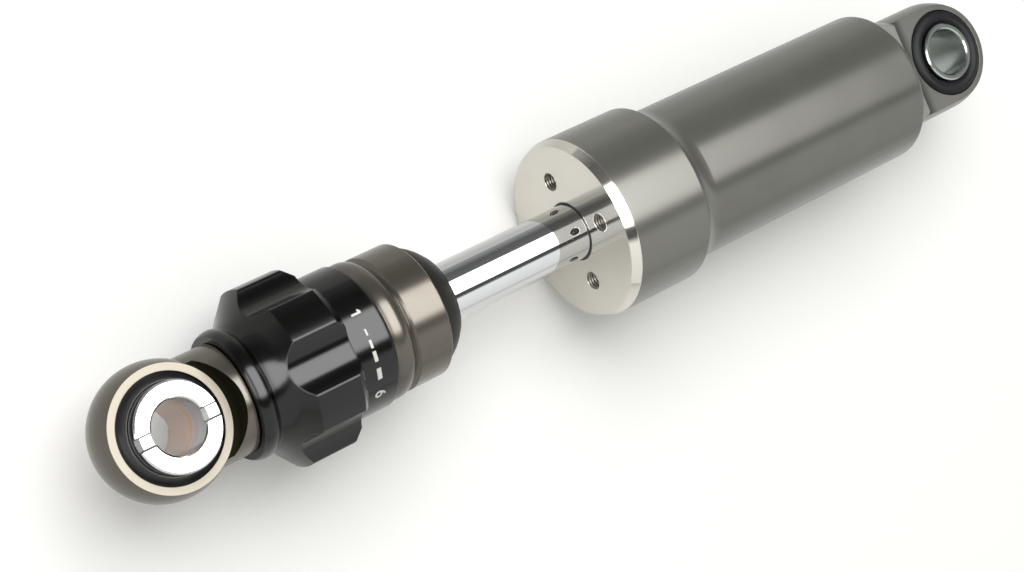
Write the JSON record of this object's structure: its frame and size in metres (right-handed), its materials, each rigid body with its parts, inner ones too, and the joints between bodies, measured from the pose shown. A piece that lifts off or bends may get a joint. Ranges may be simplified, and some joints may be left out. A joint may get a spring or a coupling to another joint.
{
  "type": "scooter shock absorber",
  "caption": "Adjustable hydraulic damper with a rubber-bushed eye at each end, a fluted adjuster knob and a chromed rod that slides into a stepped body.",
  "frame": {"origin": "centre of the upper eye's bolt bore, at the body end", "axes": "+X along the damper from the upper eye to the lower eye at the rod's end, +Z along both bolt bores, +Y completes the right-handed frame"},
  "size_m": [0.2314, 0.0386, 0.0386],
  "materials": {
    "body_anodised": "satin gunmetal anodised",
    "eye_anodised": "satin bronze-grey anodised",
    "cap_polished": "polished",
    "inner_aluminium": "machined",
    "knob_black": "gloss black anodised",
    "rod_chrome": "hard chrome, ground and polished",
    "steel": "machined",
    "sleeve_steel": "bright plated",
    "bush_bronze": "sintered",
    "rubber": "moulded, slightly glossy",
    "seal_rubber": "nitrile",
    "stop_plastic": "satin black",
    "band_plastic": "filled low-friction polymer"
  },
  "bodies": {
    "body": {"damper_body": "body_anodised", "upper_eye": "body_anodised", "upper_bush_rubber": "rubber", "end_cap": "cap_polished", "wiper_seal": "seal_rubber", "rod_seal": "seal_rubber", "rod_guide": "inner_aluminium", "guide_bush": "bush_bronze", "guide_o_ring": "seal_rubber"},
    "upper_sleeve": {"upper_bush_sleeve": "sleeve_steel"},
    "gas_piston": {"gas_piston": "inner_aluminium", "gas_piston_o_ring": "seal_rubber"},
    "slider": {"piston_band": "band_plastic"},
    "rod": {"piston_rod": "rod_chrome", "top_out_bumper": "seal_rubber", "top_out_plate": "steel", "compression_shims": "steel", "piston": "inner_aluminium", "rebound_shims": "steel", "support_washer": "steel", "piston_nut": "steel", "stop_ring": "stop_plastic", "rod_collar": "eye_anodised", "detent_balls": "steel", "detent_springs": "steel", "knob_front_o_ring": "seal_rubber", "knob_rear_o_ring": "seal_rubber", "lower_eye": "eye_anodised", "lower_bush_rubber": "rubber"},
    "knob": {"adjuster_knob": "knob_black"},
    "needle": {"adjuster_pin": "steel", "push_rod": "inner_aluminium", "metering_needle": "steel", "needle_o_ring": "seal_rubber"},
    "lower_sleeve": {"lower_bush_sleeve": "sleeve_steel"}
  },
  "joints": [
    {"name": "rod_stroke", "type": "slide", "parent": "body", "child": "slider", "axis": [-1, 0, 0], "range_m": [0, 0.0356], "stiffness_N_per_m": 1070, "springref_m": -0.028},
    {"name": "rod_swivel", "type": "hinge", "parent": "slider", "child": "rod", "pos_m": [0.1, 0, 0], "axis": [1, 0, 0], "continuous": true},
    {"name": "gas_piston_slide", "type": "slide", "parent": "body", "child": "gas_piston", "axis": [-1, 0, 0], "range_m": [0, 0.0066]},
    {"name": "knob_turn", "type": "hinge", "parent": "rod", "child": "knob", "pos_m": [0.176, 0, 0], "axis": [1, 0, 0], "range_deg": [-33.75, 33.75]},
    {"name": "needle_slide", "type": "slide", "parent": "knob", "child": "needle", "axis": [1, 0, 0], "range_m": [-0.00076, 0.00076]},
    {"name": "lower_bush_twist", "type": "hinge", "parent": "rod", "child": "lower_sleeve", "pos_m": [0.2055, 0, 0], "axis": [0, 0, 1], "range_deg": [-15, 15], "stiffness_Nm_per_rad": 0.3},
    {"name": "upper_bush_twist", "type": "hinge", "parent": "body", "child": "upper_sleeve", "pos_m": [0, 0, 0], "axis": [0, 0, 1], "range_deg": [-15, 15], "stiffness_Nm_per_rad": 0.3}
  ],
  "couplings": [
    {"joint": "gas_piston_slide", "follows": "rod_stroke", "ratio": 0.18367},
    {"joint": "needle_slide", "follows": "knob_turn", "m_per_rad": 0.0012732}
  ]
}
